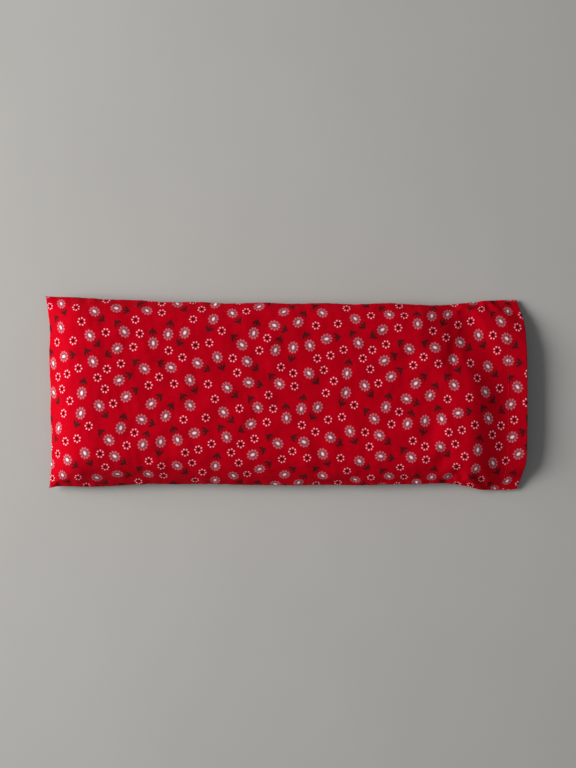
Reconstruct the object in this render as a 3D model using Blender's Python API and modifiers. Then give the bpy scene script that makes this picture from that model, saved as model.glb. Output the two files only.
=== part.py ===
"""Eye pillow: a seed-filled calico insert in a printed cotton cover that is open at one end.

+X runs along the pillow towards the cover's open end, +Y across it and +Z up. The origin is
on the table, under the middle of the cover. All sizes are in metres.

Every panel follows one pillow form, sunk below the cover's outer surface by the panel's own
depth, so that whatever lies inside keeps its clearance when a size changes.
"""

import bmesh
import bpy
import numpy as np

# Cover
COVER_LENGTH = 0.240
BODY_WIDTH = 0.0915
CLOSED_END_FLARE = 0.0025
HEIGHT = 0.020
SEAM_HEIGHT = 0.008
COVER_CLOTH = 0.0004
HEM_LENGTH = 0.012
HEM_STITCH_INSET = 0.009

# Insert
CLOSED_END_ROOM = 0.0035
EMPTY_MOUTH = 0.023
LINER_CLOTH = 0.0004
FILLING_GAP = 0.050

# Thread and clearances
THREAD = 0.0004
TOUCH_GAP = 0.0003
SLIDE_CLEARANCE = 0.0005

# Form: how far each surface takes to settle from a closed end, and how full the sections are
CROWN_RUN = 0.026
CROWN_RUN_POWER = 3
BASE_RUN = 0.016
BASE_RUN_POWER = 2
WAIST_RUN = 0.045
WAIST_RUN_POWER = 2
CROWN_POWER = 3.2
FLAT_BASE_SHARE = 0.72

# Sizes that follow from the ones above
HEM_PITCH = COVER_CLOTH + THREAD + 2 * TOUCH_GAP
SEAM_HALF_GAP = THREAD / 2 + TOUCH_GAP + COVER_CLOTH / 2
COVER_DEPTH = COVER_CLOTH / 2
HEM_DEPTH = COVER_DEPTH + HEM_PITCH
LINER_DEPTH = HEM_DEPTH + COVER_CLOTH / 2 + SLIDE_CLEARANCE + LINER_CLOTH / 2
FILL_DEPTH = LINER_DEPTH + max(LINER_CLOTH, THREAD) / 2 + TOUCH_GAP
MOUTH_X = COVER_LENGTH / 2
CLOSED_END_X = -COVER_LENGTH / 2 + COVER_CLOTH
INSERT_START_X = CLOSED_END_X + CLOSED_END_ROOM
INSERT_STOP_X = MOUTH_X - EMPTY_MOUTH
FILL_INSET = FILL_DEPTH - LINER_DEPTH + THREAD / 2

# Mesh fineness
ACROSS_STEPS = 20
END_STEPS = 9
BODY_STEPS = 12
FOLD_STEPS = 4
THREAD_STEPS = 20
THREAD_CORNER_TRIM = 0.0015
ROW_CROWDING = 1.5
WELD_DISTANCE = 1e-6

# Colours, linear
RED_COTTON = (0.42, 0.0, 0.01)
RED_THREAD = (0.45, 0.01, 0.02)
CALICO = (0.74, 0.66, 0.52)
PALE_THREAD = (0.8, 0.76, 0.66)
FLAX_SEED = (0.2, 0.08, 0.03)

COLLECTION_NAME = "eye_pillow"


def swell(run, length, power):
    """Rise from 0 at a closed end to 1 where the run reaches length, steep at first."""
    return 1 - (1 - np.clip(run / length, 0, 1)) ** power


class Bag:
    """The pillow form at one depth: its ends, its half width and its two surfaces."""

    def __init__(self, start_x, stop_x, seam_half_gap, closed_stop, flared):
        self.start_x = start_x
        self.stop_x = stop_x
        self.seam_half_gap = seam_half_gap
        self.closed_stop = closed_stop
        self.flared = flared

    def fullness(self, x, run, power):
        """Share of the full thickness at x, which falls to 0 at each closed end."""
        full = swell(x - self.start_x, run, power)
        if self.closed_stop:
            full = full * swell(self.stop_x - x, run, power)
        return full

    def half_width(self, x, depth):
        """Half the width at x, wider at a flared closed end and sunk by depth."""
        flare = 0.0
        if self.flared:
            flare = CLOSED_END_FLARE * (1 - swell(x - self.start_x, WAIST_RUN, WAIST_RUN_POWER))
        return BODY_WIDTH / 2 + flare - depth

    def front(self, x, across, depth):
        """A point of the upper surface; across runs from -1 to 1 between the side seams."""
        seam_z = SEAM_HEIGHT + self.seam_half_gap
        crown = 1 - abs(across) ** CROWN_POWER
        full = self.fullness(x, CROWN_RUN, CROWN_RUN_POWER)
        z = seam_z + (HEIGHT - depth - seam_z) * crown * full
        return x, across * self.half_width(x, depth), z

    def back(self, x, across, depth):
        """A point of the lower surface, which is flat on the table between its two sides."""
        seam_z = SEAM_HEIGHT - self.seam_half_gap
        side = np.clip((abs(across) - FLAT_BASE_SHARE) / (1 - FLAT_BASE_SHARE), 0, 1)
        full = self.fullness(x, BASE_RUN, BASE_RUN_POWER)
        z = seam_z - (seam_z - depth) * (1 - side ** 2) * full
        return x, across * self.half_width(x, depth), z

    def seam(self, x, side, depth):
        """A point on the side seam at x, on the side -1 or 1."""
        return x, side * self.half_width(x, depth), SEAM_HEIGHT


COVER = Bag(CLOSED_END_X, MOUTH_X, SEAM_HALF_GAP, closed_stop=False, flared=True)
LINER = Bag(INSERT_START_X, INSERT_STOP_X, SEAM_HALF_GAP, closed_stop=True, flared=False)
FILL = Bag(INSERT_START_X + FILL_INSET, INSERT_STOP_X - FILL_INSET, 0.0, closed_stop=True, flared=False)


def rows_from_closed_end(start_x, stop_x, body_steps):
    """Stations along X that are close together at start_x, where the form swells."""
    end_rows = start_x + CROWN_RUN * np.linspace(0, 1, END_STEPS + 1) ** ROW_CROWDING
    body_rows = np.linspace(start_x + CROWN_RUN, stop_x, body_steps + 1)[1:]
    return np.concatenate([end_rows, body_rows])


def rows_between_closed_ends(start_x, stop_x):
    """Stations along X that are close together at both ends, mirrored about the middle."""
    half = rows_from_closed_end(start_x, (start_x + stop_x) / 2, BODY_STEPS // 2)
    return np.concatenate([half, start_x + stop_x - half[-2::-1]])


def hemmed_rows():
    """Stations of a cover panel: x and depth out to the mouth, round the fold and back."""
    fold_radius = HEM_PITCH / 2
    fold_x = MOUTH_X - COVER_CLOTH / 2 - fold_radius
    outer = [(x, COVER_DEPTH) for x in rows_from_closed_end(CLOSED_END_X, fold_x, BODY_STEPS)]
    turns = np.pi * np.arange(1, FOLD_STEPS) / FOLD_STEPS
    fold = [(fold_x + fold_radius * np.sin(a), COVER_DEPTH + fold_radius * (1 - np.cos(a))) for a in turns]
    inner = [(fold_x, HEM_DEPTH), (MOUTH_X - HEM_LENGTH, HEM_DEPTH)]
    return outer + fold + inner


def material(name, colour, roughness):
    """A plain Principled material."""
    made = bpy.data.materials.new(name)
    made.use_nodes = True
    shader = made.node_tree.nodes["Principled BSDF"]
    shader.inputs["Base Color"].default_value = (*colour, 1.0)
    shader.inputs["Roughness"].default_value = roughness
    return made


def grid(rows, surface):
    """A bmesh grid whose rows follow the stations and whose columns run from seam to seam."""
    sheet = bmesh.new()
    bmesh.ops.create_grid(sheet, x_segments=len(rows) - 1, y_segments=ACROSS_STEPS, size=1.0)
    for vertex in sheet.verts:
        row = round((vertex.co.x + 1) / 2 * (len(rows) - 1))
        x, depth = rows[row]
        vertex.co = surface(x, vertex.co.y, depth)
    return sheet


def place(name, data, body, finish):
    """Link new object data under its body's empty, with its material."""
    made = bpy.data.objects.new(name, data)
    data.materials.append(finish)
    parts.objects.link(made)
    made.parent = body
    return made


def mesh_object(name, sheet, body, finish):
    """Turn a bmesh into a smooth shaded object."""
    data = bpy.data.meshes.new(name)
    sheet.to_mesh(data)
    sheet.free()
    data.shade_smooth()
    return place(name, data, body, finish)


def panel(name, rows, surface, cloth, body, finish):
    """A cloth panel: a grid given the cloth's thickness, half of it to each side."""
    made = mesh_object(name, grid(rows, surface), body, finish)
    wall = made.modifiers.new("cloth", "SOLIDIFY")
    wall.thickness = cloth
    wall.offset = 0.0
    return made


def thread(name, points, body, finish):
    """A sewing thread: a round tube through its points."""
    data = bpy.data.curves.new(name, "CURVE")
    data.dimensions = "3D"
    data.bevel_depth = THREAD / 2
    data.bevel_resolution = 2
    data.use_fill_caps = True
    spline = data.splines.new("POLY")
    spline.points.add(len(points) - 1)
    for spline_point, point in zip(spline.points, points):
        spline_point.co = (*point, 1.0)
    return place(name, data, body, finish)


def seam_run(bag, depth, from_x, to_x, side):
    """Points along one side seam."""
    return [bag.seam(x, side, depth) for x in np.linspace(from_x, to_x, THREAD_STEPS)]


def end_run(x, from_y, to_y):
    """Points along an end seam."""
    return [(x, y, SEAM_HEIGHT) for y in np.linspace(from_y, to_y, THREAD_STEPS // 2)]


def cover_seam_points():
    """Round three sides of the cover: up one side seam, across the closed end and back."""
    near_mouth = MOUTH_X - COVER_CLOTH
    near_end = CLOSED_END_X + THREAD_CORNER_TRIM
    end_y = COVER.half_width(CLOSED_END_X, COVER_DEPTH) - THREAD_CORNER_TRIM
    return (seam_run(COVER, COVER_DEPTH, near_mouth, near_end, -1)
            + end_run(CLOSED_END_X, -end_y, end_y)
            + seam_run(COVER, COVER_DEPTH, near_end, near_mouth, 1))


def liner_seam_points():
    """Round the whole liner, from one end of its filling gap to the other."""
    corner_y = LINER.half_width(INSERT_STOP_X, LINER_DEPTH) - THREAD_CORNER_TRIM
    gap_y = FILLING_GAP / 2 + TOUCH_GAP
    near_start = INSERT_START_X + THREAD_CORNER_TRIM
    near_stop = INSERT_STOP_X - THREAD_CORNER_TRIM
    return (end_run(INSERT_STOP_X, -gap_y, -corner_y)
            + seam_run(LINER, LINER_DEPTH, near_stop, near_start, -1)
            + end_run(INSERT_START_X, -corner_y, corner_y)
            + seam_run(LINER, LINER_DEPTH, near_start, near_stop, 1)
            + end_run(INSERT_STOP_X, corner_y, gap_y))


def hem_stitch_points(surface):
    """Across a panel between its hem's two layers, from column to column of the panel's grid."""
    depth = (COVER_DEPTH + HEM_DEPTH) / 2
    columns = np.linspace(-1, 1, ACROSS_STEPS + 1)[1:-1]
    return [surface(MOUTH_X - HEM_STITCH_INSET, across, depth) for across in columns]


def fill_mesh():
    """The seed as one solid: an upper and a lower grid joined round their edge."""
    rows = [(x, FILL_DEPTH) for x in rows_between_closed_ends(FILL.start_x, FILL.stop_x)]
    solid = grid(rows, FILL.front)
    lower = bpy.data.meshes.new("lower_side")
    under = grid(rows, FILL.back)
    bmesh.ops.reverse_faces(under, faces=under.faces)
    under.to_mesh(lower)
    under.free()
    solid.from_mesh(lower)
    bpy.data.meshes.remove(lower)
    bmesh.ops.remove_doubles(solid, verts=solid.verts, dist=WELD_DISTANCE)
    return solid


def body_empty(name):
    """An empty that carries one body's pieces, on the line that the insert slides along."""
    made = bpy.data.objects.new(name, None)
    made.empty_display_type = "ARROWS"
    made.empty_display_size = HEIGHT
    parts.objects.link(made)
    return made


def build_cover():
    """Two hemmed cotton panels and the threads that sew them."""
    body = body_empty("cover_body")
    cotton = material("printed_cotton", RED_COTTON, roughness=0.85)
    red_thread = material("red_thread", RED_THREAD, roughness=0.6)
    rows = hemmed_rows()
    panel("cover_front", rows, COVER.front, COVER_CLOTH, body, cotton)
    panel("cover_back", rows, COVER.back, COVER_CLOTH, body, cotton)
    thread("cover_seam_thread", cover_seam_points(), body, red_thread)
    thread("hem_thread_front", hem_stitch_points(COVER.front), body, red_thread)
    thread("hem_thread_back", hem_stitch_points(COVER.back), body, red_thread)


def build_insert():
    """Two calico panels, the threads that close them and the seed inside."""
    body = body_empty("insert_body")
    calico = material("calico", CALICO, roughness=0.9)
    pale_thread = material("pale_thread", PALE_THREAD, roughness=0.6)
    seed = material("flax_seed", FLAX_SEED, roughness=0.4)
    rows = [(x, LINER_DEPTH) for x in rows_between_closed_ends(INSERT_START_X, INSERT_STOP_X)]
    panel("liner_front", rows, LINER.front, LINER_CLOTH, body, calico)
    panel("liner_back", rows, LINER.back, LINER_CLOTH, body, calico)
    thread("liner_seam_thread", liner_seam_points(), body, pale_thread)
    closing = end_run(INSERT_STOP_X, -FILLING_GAP / 2, FILLING_GAP / 2)
    thread("liner_closing_thread", closing, body, pale_thread)
    mesh_object("seed_fill", fill_mesh(), body, seed)


for old in list(bpy.data.objects):
    bpy.data.objects.remove(old, do_unlink=True)
parts = bpy.data.collections.new(COLLECTION_NAME)
bpy.context.scene.collection.children.link(parts)
build_cover()
build_insert()
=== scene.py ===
"""Looks of the eye pillow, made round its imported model.

A printed cotton cover, open at one end, is draped by cloth simulation over a calico bag of
flax seed. The simulations run on coarse pouches; each panel is then worked out again on a fine
grid, where its seams, hems, puckers and stitches are made.
"""

from __future__ import annotations

import logging
from collections.abc import Callable
from dataclasses import dataclass, replace
from enum import Enum

import bpy
import numpy as np
from mathutils import Matrix, Vector


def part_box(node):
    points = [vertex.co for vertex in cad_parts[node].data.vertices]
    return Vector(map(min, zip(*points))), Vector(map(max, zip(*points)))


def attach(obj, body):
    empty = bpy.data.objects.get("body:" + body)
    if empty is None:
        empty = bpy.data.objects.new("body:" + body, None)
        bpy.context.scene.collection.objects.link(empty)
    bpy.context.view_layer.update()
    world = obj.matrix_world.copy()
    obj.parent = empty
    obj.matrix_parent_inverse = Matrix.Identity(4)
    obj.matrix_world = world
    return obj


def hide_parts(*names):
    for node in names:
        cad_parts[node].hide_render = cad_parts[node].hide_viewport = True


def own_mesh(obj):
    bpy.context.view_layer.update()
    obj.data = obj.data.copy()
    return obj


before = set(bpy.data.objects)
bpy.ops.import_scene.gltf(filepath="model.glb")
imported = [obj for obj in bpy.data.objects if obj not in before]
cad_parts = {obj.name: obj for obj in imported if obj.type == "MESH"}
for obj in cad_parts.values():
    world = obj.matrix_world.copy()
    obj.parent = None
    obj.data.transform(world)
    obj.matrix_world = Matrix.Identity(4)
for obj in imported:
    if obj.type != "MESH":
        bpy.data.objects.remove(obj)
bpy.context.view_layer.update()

logging.basicConfig(level=logging.INFO, format="%(message)s")
log = logging.getLogger("eye_pillow")

Object = bpy.types.Object
Material = bpy.types.Material
Socket = bpy.types.NodeSocket

MM = 0.001
X_AXIS, Y_AXIS, UP = np.eye(3)
MATH = "ShaderNodeMath"


class Side(Enum):
    """Which of a bag's two panels a surface belongs to."""

    FRONT = 1
    BACK = -1


class Face(Enum):
    """The two faces of a printed cloth."""

    PRINTED = "printed"
    REVERSE = "reverse"


# ---------------------------------------------------------------- arrays and meshes


def ease(t: np.ndarray) -> np.ndarray:
    """Smooth step: 3t^2 - 2t^3, with t kept between 0 and 1."""
    t = np.clip(t, 0, 1)
    return t * t * (3 - 2 * t)


def swell(run: np.ndarray, length: float, power: float) -> np.ndarray:
    """Rise from 0 at a closed end to 1 where the run reaches length: 1 - (1 - run/length)^power."""
    return 1 - (1 - np.clip(run / length, 0, 1)) ** power


def bell(distance: np.ndarray, width: float) -> np.ndarray:
    """Bell curve, 1 where the distance is 0: exp(-(distance / width)^2)."""
    return np.exp(-((distance / width) ** 2))


def crowded(steps: int, crowding: float) -> np.ndarray:
    """Values from 0 to 1 that crowd towards both ends: s - crowding * sin(2 pi s) / (2 pi)."""
    s = np.linspace(0, 1, steps + 1)
    return s - crowding * np.sin(2 * np.pi * s) / (2 * np.pi)


def unit(vectors: np.ndarray) -> np.ndarray:
    """Vectors at length 1."""
    return vectors / np.maximum(np.linalg.norm(vectors, axis=-1, keepdims=True), 1e-12)


def ripple(p: np.ndarray, q: np.ndarray, wavelength: float, seed: int,
           waves: int = 28) -> np.ndarray:
    """Even, unrepeating relief: the mean of many cosines in random directions.

    Args:
        p, q: coordinates on the surface, of one shape.
        wavelength: middle wavelength, in the coordinates' unit.
        seed: seed of the directions and phases.
        waves: how many cosines are summed.

    Returns:
        Heights with a spread of about 1.
    """
    rng = np.random.default_rng(seed)
    angle = rng.uniform(0, np.pi, waves)
    pitch = wavelength * rng.uniform(0.75, 1.35, waves)
    phase = rng.uniform(0, 2 * np.pi, waves)
    along = p[..., None] * np.cos(angle) + q[..., None] * np.sin(angle)
    return np.cos(2 * np.pi * along / pitch + phase).sum(-1) / np.sqrt(waves / 2)


def resampling(coarse: int, places: np.ndarray) -> np.ndarray:
    """Weights that read a row of evenly spaced values at other places.

    Each place takes the four values round it, weighted by the Catmull-Rom cubic.

    Args:
        coarse: number of steps between the given values.
        places: where to read, from 0 to 1.

    Returns:
        Matrix of shape (places, coarse + 1).
    """
    at = np.clip(places, 0, 1) * coarse
    first = np.minimum(at.astype(int), coarse - 1)
    t = at - first
    cubic = np.stack([
        -0.5 * t + t**2 - 0.5 * t**3,
        1 - 2.5 * t**2 + 1.5 * t**3,
        0.5 * t + 2 * t**2 - 1.5 * t**3,
        -0.5 * t**2 + 0.5 * t**3,
    ])
    weights = np.zeros((len(at), coarse + 1))
    rows = np.arange(len(at))
    for offset, share in zip(range(-1, 3), cubic):
        np.add.at(weights, (rows, np.clip(first + offset, 0, coarse)), share)
    return weights


def arc_length(path: np.ndarray) -> np.ndarray:
    """Distance along a path from its first point to each of its points."""
    return np.concatenate([[0], np.cumsum(np.linalg.norm(np.diff(path, axis=0), axis=1))])


def even(profile: np.ndarray, at: np.ndarray) -> np.ndarray:
    """Where on a profile, from 0 to 1, points lie that share out its arc length evenly.

    Args:
        profile: points of the profile at even steps of its parameter, shape (n, 3).
        at: shares of the arc length, from 0 to 1.

    Returns:
        The parameter's values at those shares.
    """
    reach = arc_length(profile)
    return np.interp(at, reach / reach[-1], np.linspace(0, 1, len(profile)))


def grid_faces(numbers: np.ndarray) -> np.ndarray:
    """Quads of a grid of vertex numbers, turning from rows to columns."""
    corners = [numbers[:-1, :-1], numbers[1:, :-1], numbers[1:, 1:], numbers[:-1, 1:]]
    return np.stack(corners, -1).reshape(-1, 4)


def mesh_object(name: str, points: np.ndarray, faces: np.ndarray) -> Object:
    """Make a smooth shaded mesh object at the origin.

    Args:
        name: the object's and the mesh's name.
        points: vertex positions in metres, shape (n, 3).
        faces: vertex numbers of equal sized faces, shape (m, k).

    Returns:
        The new object, linked to the scene.
    """
    mesh = bpy.data.meshes.new(name)
    count, size = faces.shape
    mesh.vertices.add(len(points))
    mesh.vertices.foreach_set("co", np.ascontiguousarray(points, np.float32).ravel())
    mesh.loops.add(count * size)
    mesh.loops.foreach_set("vertex_index", np.ascontiguousarray(faces, np.int32).ravel())
    mesh.polygons.add(count)
    mesh.polygons.foreach_set("loop_start", np.arange(0, count * size, size, dtype=np.int32))
    mesh.update(calc_edges=True)
    mesh.validate()
    mesh.shade_smooth()
    made = bpy.data.objects.new(name, mesh)
    bpy.context.scene.collection.objects.link(made)
    return made


def add_uv(made: Object, name: str, corners: np.ndarray) -> None:
    """Give a mesh a UV map from one pair of numbers for each face corner."""
    layer = made.data.uv_layers.new(name=name)
    layer.data.foreach_set("uv", np.ascontiguousarray(corners, np.float32).ravel())


# ---------------------------------------------------------------- shader nodes


def linear(hex_colour: str) -> tuple[float, float, float, float]:
    """Turn an sRGB colour into linear light.

    Args:
        hex_colour: the colour as #RRGGBB.

    Returns:
        Linear red, green and blue, and an alpha of 1.
    """
    srgb = np.array([int(hex_colour[i:i + 2], 16) for i in (1, 3, 5)]) / 255
    values = np.where(srgb <= 0.04045, srgb / 12.92, ((srgb + 0.055) / 1.055) ** 2.4)
    return (*(float(v) for v in values), 1.0)


class Tree:
    """A material's nodes."""

    def __init__(self, name: str) -> None:
        """Start a material that holds one Principled shader.

        Args:
            name: the material's name.
        """
        self.material = bpy.data.materials.new(name)
        self.material.use_nodes = True
        self.shader = self.material.node_tree.nodes["Principled BSDF"]

    def add(self, kind: str, *first: object, inputs: dict | None = None, output: object = 0,
            **settings: object) -> Socket:
        """Add a node, set its properties, and link or set its inputs.

        Args:
            kind: the node's Blender type.
            first: a socket, a value or None for each of the first inputs, in order.
            inputs: the same for other inputs, by number or name.
            output: number or name of the output that is returned.
            settings: the node's own properties.

        Returns:
            One of the node's outputs.
        """
        node = self.material.node_tree.nodes.new(kind)
        for key, value in settings.items():
            setattr(node, key, value)
        for place, value in {**dict(enumerate(first)), **(inputs or {})}.items():
            if isinstance(value, Socket):
                self.material.node_tree.links.new(value, node.inputs[place])
            elif value is not None:
                node.inputs[place].default_value = value
        return node.outputs[output]

    def ink(self, under: object, colour: object, distance: Socket, edge: float,
            blur: float) -> Socket:
        """Lay a colour over another inside the edge of a shape.

        Args:
            under: the colour below, a socket or four numbers.
            colour: the colour on top, the same.
            distance: distance from the shape's middle.
            edge: the distance at which its edge lies.
            blur: how far the ink bleeds to either side of the edge.

        Returns:
            The two colours as one.
        """
        share = self.add("ShaderNodeMapRange", distance, edge - blur, edge + blur, 1.0, 0.0)
        return self.add("ShaderNodeMix", share, inputs={6: under, 7: colour}, output=2,
                        data_type="RGBA")

    def ellipse(self, place: Socket, centre: tuple, turn: float, half_axes: tuple) -> Socket:
        """Measure how far out a place lies in an ellipse.

        Args:
            place: the place.
            centre: the ellipse's middle.
            turn: angle of its first axis in degrees.
            half_axes: its two half axes.

        Returns:
            Distance from the middle, 1 on the edge.
        """
        spin = (0.0, 0.0, float(np.radians(turn)))
        local = self.add("ShaderNodeMapping", place, (*centre, 0.0), spin, (*half_axes, 1.0),
                         vector_type="TEXTURE")
        return self.add("ShaderNodeVectorMath", local, output="Value", operation="LENGTH")

    def finish(self, colour: object, relief: Socket, height: float, **surface: float) -> Material:
        """Wire up the shader.

        Args:
            colour: base colour, a socket or four numbers.
            relief: height field of the bump, from 0 to 1.
            height: real height of the bump in metres.
            surface: the shader's even values, by the names of its inputs with _ for a space.

        Returns:
            The material.
        """
        bump = self.add("ShaderNodeBump", 1.0, height, None, relief)
        self.material.node_tree.links.new(bump, self.shader.inputs["Normal"])
        if isinstance(colour, Socket):
            self.material.node_tree.links.new(colour, self.shader.inputs["Base Color"])
        else:
            self.shader.inputs["Base Color"].default_value = colour
        for name, value in surface.items():
            self.shader.inputs[name.replace("_", " ")].default_value = value
        return self.material


def weave_relief(tree: Tree, cloth: Socket, repeat: float) -> Socket:
    """Plain weave: warp and weft rise in turn, as sin(2 pi x / repeat) * sin(2 pi y / repeat).

    Args:
        tree: the material's nodes.
        cloth: place on the flat cloth in millimetres.
        repeat: length after which the weave repeats, which is two yarns.

    Returns:
        Height from 0 to 1.
    """
    waves = []
    for axis in (0, 1):
        place = tree.add("ShaderNodeSeparateXYZ", cloth, output=axis)
        turns = tree.add(MATH, place, 2 * np.pi / repeat, operation="MULTIPLY")
        waves.append(tree.add(MATH, turns, operation="SINE"))
    product = tree.add(MATH, *waves, operation="MULTIPLY")
    return tree.add(MATH, product, 0.5, 0.5, operation="MULTIPLY_ADD")


def slubs(tree: Tree, cloth: Socket, length: float, width: float) -> Socket:
    """Uneven yarn: the mean of a noise drawn out along the warp and one along the weft.

    Args:
        tree: the material's nodes.
        cloth: place on the flat cloth in millimetres.
        length: length of a slub.
        width: width of a slub.

    Returns:
        Noise from 0 to 1.
    """
    streaks = []
    for stretch in ((1 / length, 1 / width, 1.0), (1 / width, 1 / length, 1.0)):
        place = tree.add("ShaderNodeMapping", cloth, None, None, stretch)
        streaks.append(tree.add("ShaderNodeTexNoise", place, None, 1.0, 3.0, noise_dimensions="2D"))
    both = tree.add(MATH, *streaks, operation="ADD")
    return tree.add(MATH, both, 0.5, operation="MULTIPLY")


# ---------------------------------------------------------------- finishes


@dataclass(frozen=True)
class PrintedCotton:
    """Plain-weave cotton with a small flower print.

    Screen printed on one face, so the reverse is paler with a faint ghost of the print. Distances
    are in millimetres on the flat cloth. The weave repeats every two yarns, which only shows
    close up; the slubs are what shows from further away.

    Attributes:
        weave_repeat: length after which the weave repeats.
        petal_reach, petal_notch: how far out a petal ends, and how deep the notches cut in.
        petal_stretch: how much longer than wide a daisy is.
        petal_shading: radii between which the petals go from dark to light.
        leaves: the stem and the three leaves, each as middle, turn in degrees and half axes.
        blur: how far the ink bleeds at an edge.
        leaf_blur, centre_blur: the same for ellipses, as a share of their half axes.
        fading: share of the reverse's even colour that hides the print.
    """

    field_colour: str = "#C2021A"
    deep_colour: str = "#AA0012"
    petal_light: str = "#CB757E"
    petal_dark: str = "#92333D"
    centre_colour: str = "#FFE0E7"
    sprig_colour: str = "#541418"
    dot_colour: str = "#FFBCC9"
    eye_colour: str = "#4E060E"
    reverse_colour: str = "#C84A52"
    weave_repeat: float = 0.36
    petal_count: int = 10
    petal_reach: float = 2.5
    petal_notch: float = 0.55
    petal_stretch: float = 1.15
    petal_shading: tuple = (0.9, 2.1)
    centre_half_axes: tuple = (0.98, 0.62)
    dot_count: int = 7
    dot_circle: float = 1.6
    dot_radius: float = 0.35
    eye_radius: float = 0.68
    leaves: tuple = (
        ((4.0, 0.0), 0.0, (1.6, 0.25)),
        ((5.8, 0.0), 0.0, (1.7, 0.60)),
        ((5.25, 1.15), -36.0, (1.45, 0.62)),
        ((5.25, -1.15), 36.0, (1.45, 0.62)),
    )
    blur: float = 0.12
    leaf_blur: float = 0.35
    centre_blur: float = 0.4
    fading: float = 0.72

    def make(self, face: Face) -> Material:
        """Make the material of one face of the cloth.

        Args:
            face: which face.

        Returns:
            The material.
        """
        tree = Tree(f"cotton_{face.value}")
        cloth = tree.add("ShaderNodeUVMap", uv_map="cloth")
        relief = weave_relief(tree, cloth, self.weave_repeat)
        streaks = slubs(tree, cloth, length=9.0, width=0.5)
        ground = tree.add("ShaderNodeMix", streaks, output=2, data_type="RGBA",
                          inputs={6: linear(self.deep_colour), 7: linear(self.field_colour)})
        colour = self.sprays(tree, self.rings(tree, ground))
        if face is Face.REVERSE:
            colour = tree.add("ShaderNodeMix", self.fading, output=2, data_type="RGBA",
                              inputs={6: colour, 7: linear(self.reverse_colour)})
        return tree.finish(colour, relief, 0.05 * MM, Roughness=0.85, Specular_IOR_Level=0.08,
                           Specular_Tint=linear("#FF3040"), Sheen_Weight=0.05, Sheen_Roughness=0.5,
                           Sheen_Tint=linear("#FF5060"))

    def polar(self, tree: Tree, place: Socket) -> tuple:
        """Turn a motif's own coordinates into polar ones.

        Args:
            tree: the material's nodes.
            place: place relative to the motif's middle.

        Returns:
            Radius, and angle in radians.
        """
        x = tree.add("ShaderNodeSeparateXYZ", place, output=0)
        y = tree.add("ShaderNodeSeparateXYZ", place, output=1)
        radius = tree.add("ShaderNodeVectorMath", place, output="Value", operation="LENGTH")
        return radius, tree.add(MATH, y, x, operation="ARCTAN2")

    def rings(self, tree: Tree, under: Socket) -> Socket:
        """Print the ring flowers: dots evenly round a dark eye, folded into one sector.

        Args:
            tree: the material's nodes.
            under: colour of the cloth below.

        Returns:
            Colour of the printed cloth.
        """
        place = tree.add("ShaderNodeUVMap", uv_map="ring")
        radius, angle = self.polar(tree, place)
        folded = tree.add(MATH, angle, np.pi / self.dot_count, operation="PINGPONG")
        aside = tree.add(MATH, folded, self.dot_circle, operation="MULTIPLY")
        out = tree.add(MATH, radius, self.dot_circle, operation="SUBTRACT")
        local = tree.add("ShaderNodeCombineXYZ", out, aside)
        distance = tree.add("ShaderNodeVectorMath", local, output="Value", operation="LENGTH")
        eye = tree.ink(under, linear(self.eye_colour), radius, self.eye_radius, self.blur)
        return tree.ink(eye, linear(self.dot_colour), distance, self.dot_radius, self.blur)

    def sprays(self, tree: Tree, under: Socket) -> Socket:
        """Print the daisies, each with a sprig of three leaves along +X of its coordinates.

        A petal's edge lies at reach - notch * (1 - |cos(n * angle / 2)|), n being their number.

        Args:
            tree: the material's nodes.
            under: colour of the cloth below.

        Returns:
            Colour of the printed cloth.
        """
        place = tree.add("ShaderNodeUVMap", uv_map="spray")
        colour = under
        for centre, turn, half_axes in self.leaves:
            shape = tree.ellipse(place, centre, turn, half_axes)
            colour = tree.ink(colour, linear(self.sprig_colour), shape, 1.0, self.leaf_blur)
        narrowed = (1 / self.petal_stretch, 1.0, 1.0)
        flower = tree.add("ShaderNodeMapping", place, None, None, narrowed)
        radius, angle = self.polar(tree, flower)
        half_turns = tree.add(MATH, angle, self.petal_count / 2, operation="MULTIPLY")
        lobes = tree.add(MATH, tree.add(MATH, half_turns, operation="COSINE"), operation="ABSOLUTE")
        notch = tree.add(MATH, lobes, self.petal_notch, -self.petal_notch,
                         operation="MULTIPLY_ADD")
        past = tree.add(MATH, radius, notch, operation="SUBTRACT")
        outward = tree.add("ShaderNodeMapRange", radius, *self.petal_shading, 0.0, 1.0)
        shade = tree.add(MATH, outward, lobes, operation="MULTIPLY")
        tint = tree.add("ShaderNodeMix", shade, output=2, data_type="RGBA",
                        inputs={6: linear(self.petal_dark), 7: linear(self.petal_light)})
        colour = tree.ink(colour, tint, past, self.petal_reach, 2 * self.blur)
        middle = tree.ellipse(place, (0.0, 0.0), 0.0, self.centre_half_axes)
        return tree.ink(colour, linear(self.centre_colour), middle, 1.0, self.centre_blur)


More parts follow.
